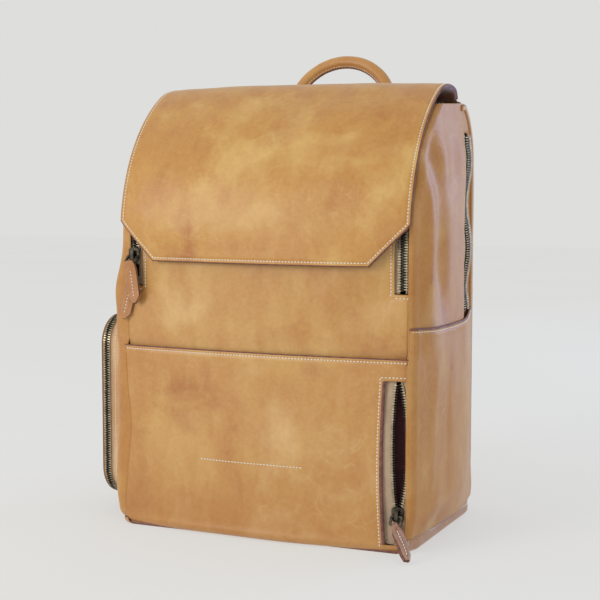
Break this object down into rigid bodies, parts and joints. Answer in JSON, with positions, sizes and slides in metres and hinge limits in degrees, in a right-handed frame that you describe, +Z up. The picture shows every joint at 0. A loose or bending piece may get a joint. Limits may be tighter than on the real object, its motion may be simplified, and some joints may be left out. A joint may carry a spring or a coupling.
{
  "type": "backpack",
  "caption": "Box-shaped leather backpack with a curved front flap, zipped front and side pockets, a slip pocket, a rolled handle and shoulder straps.",
  "frame": {"origin": "centre of the underside of the body, on the surface the bag stands on", "axes": "+X to the right seen from the front, +Y towards the back panel, +Z up"},
  "size_m": [0.349, 0.2672, 0.4495],
  "materials": {
    "leather": "waxed pull-up leather",
    "lining": "woven cotton lining",
    "foam": "padded fabric",
    "board": "matte",
    "tape": "woven zip tape",
    "teeth": "antique brass",
    "hardware": "antique brass",
    "cord": "twisted cord",
    "magnet": "plated"
  },
  "bodies": {
    "bag": {"base_panel": "leather", "base_board": "board", "front_panel": "leather", "front_pocket_panel": "leather", "front_pocket_liner": "lining", "top_panel": "leather", "back_wall": "leather", "side_panel_left": "leather", "side_panel_right": "leather", "back_panel": "leather", "back_foam": "foam", "laptop_divider": "foam", "main_zip_teeth_outer": "teeth", "main_zip_tape_outer": "tape", "pocket_zip_teeth": "teeth", "pocket_zip_tape": "tape", "laptop_zip_teeth": "teeth", "laptop_zip_tape": "tape", "side_slip_pocket": "leather", "side_pocket_gusset": "leather", "side_pocket_teeth_gusset": "teeth", "side_pocket_tape_gusset": "tape", "handle_anchors": "leather", "strap_tabs": "leather", "strap_rings": "hardware"},
    "flap": {"flap": "leather", "flap_magnets": "magnet"},
    "mouth": {"mouth_panel": "leather", "main_zip_teeth_inner": "teeth", "main_zip_tape_inner": "tape", "mouth_magnets": "magnet"},
    "side_pocket_lid": {"side_pocket_face": "leather", "side_pocket_teeth_face": "teeth", "side_pocket_tape_face": "tape"},
    "handle": {"handle_cover": "leather", "handle_core": "cord"},
    "main_upper_slider": {"main_upper_slider": "hardware"},
    "main_upper_pull": {"main_upper_pull_ring": "hardware", "main_upper_pull_tab": "leather"},
    "main_lower_slider": {"main_lower_slider": "hardware"},
    "main_lower_pull": {"main_lower_pull_ring": "hardware", "main_lower_pull_tab": "leather"},
    "pocket_slider": {"pocket_slider": "hardware"},
    "pocket_pull": {"pocket_pull_ring": "hardware", "pocket_pull_tab": "leather"},
    "laptop_slider": {"laptop_slider": "hardware"},
    "laptop_pull": {"laptop_pull_ring": "hardware", "laptop_pull_tab": "leather"},
    "side_pocket_slider": {"side_pocket_slider": "hardware"},
    "side_pocket_pull": {"side_pocket_pull_ring": "hardware", "side_pocket_pull_tab": "leather"},
    "strap_left": {"strap_left_pad": "leather", "strap_left_lower": "leather", "strap_left_buckle": "hardware"},
    "strap_right": {"strap_right_pad": "leather", "strap_right_lower": "leather", "strap_right_buckle": "hardware"}
  },
  "joints": [
    {"name": "flap_open", "type": "hinge", "parent": "bag", "child": "flap", "pos_m": [0, 0.0326, 0.3995], "axis": [-1, 0, 0], "range_deg": [0, 110]},
    {"name": "mouth_open", "type": "hinge", "parent": "bag", "child": "mouth", "pos_m": [0, -0.09, 0.22615], "axis": [1, 0, 0], "range_deg": [0, 34]},
    {"name": "side_pocket_open", "type": "hinge", "parent": "bag", "child": "side_pocket_lid", "pos_m": [-0.18, 0.05, 0.1], "axis": [0, 0, -1], "range_deg": [0, 75]},
    {"name": "handle_tilt", "type": "hinge", "parent": "bag", "child": "handle", "pos_m": [0, 0.088, 0.374], "axis": [-1, 0, 0], "range_deg": [-8, 50]},
    {"name": "main_upper_slide", "type": "slide", "parent": "mouth", "child": "main_upper_slider", "axis": [0, 0, 1], "range_m": [0, 0.013]},
    {"name": "main_lower_slide", "type": "slide", "parent": "mouth", "child": "main_lower_slider", "axis": [0, 0, -1], "range_m": [0, 0.005]},
    {"name": "pocket_slide", "type": "slide", "parent": "bag", "child": "pocket_slider", "axis": [0, 0, 1], "range_m": [-0.018, 0.108]},
    {"name": "laptop_slide", "type": "slide", "parent": "bag", "child": "laptop_slider", "axis": [0, 0, 1], "range_m": [0, 0.148]},
    {"name": "side_pocket_slide", "type": "slide", "parent": "bag", "child": "side_pocket_slider", "axis": [0, -1, 0], "range_m": [0, 0.034]},
    {"name": "main_upper_swing", "type": "hinge", "parent": "main_upper_slider", "child": "main_upper_pull", "pos_m": [-0.1325, -0.09275, 0.2535], "axis": [-1, 0, 0], "range_deg": [0, 80]},
    {"name": "main_lower_swing", "type": "hinge", "parent": "main_lower_slider", "child": "main_lower_pull", "pos_m": [-0.1325, -0.09275, 0.239], "axis": [-1, 0, 0], "range_deg": [0, 80]},
    {"name": "pocket_swing", "type": "hinge", "parent": "pocket_slider", "child": "pocket_pull", "pos_m": [0.1321, -0.0985, 0.0335], "axis": [-1, 0, 0], "range_deg": [0, 30]},
    {"name": "laptop_swing", "type": "hinge", "parent": "laptop_slider", "child": "laptop_pull", "pos_m": [-0.1475, 0.0655, 0.2105], "axis": [0, 1, 0], "range_deg": [0, 80]},
    {"name": "side_pocket_swing", "type": "hinge", "parent": "side_pocket_slider", "child": "side_pocket_pull", "pos_m": [-0.18, 0.0105, 0.19625], "axis": [1, 0, 0], "range_deg": [0, 80]},
    {"name": "strap_left_swing", "type": "hinge", "parent": "bag", "child": "strap_left", "pos_m": [-0.048, 0.1065, 0.336], "axis": [-0.2259, 0, -0.9742], "range_deg": [-12, 12]},
    {"name": "strap_right_swing", "type": "hinge", "parent": "bag", "child": "strap_right", "pos_m": [0.048, 0.1065, 0.336], "axis": [0.2259, 0, -0.9742], "range_deg": [-12, 12]}
  ],
  "couplings": [
    {"joint": "mouth_open", "follows": "flap_open", "ratio": 0.3},
    {"joint": "main_upper_swing", "follows": "flap_open", "ratio": 0.3},
    {"joint": "main_lower_swing", "follows": "flap_open", "ratio": 0.3}
  ]
}
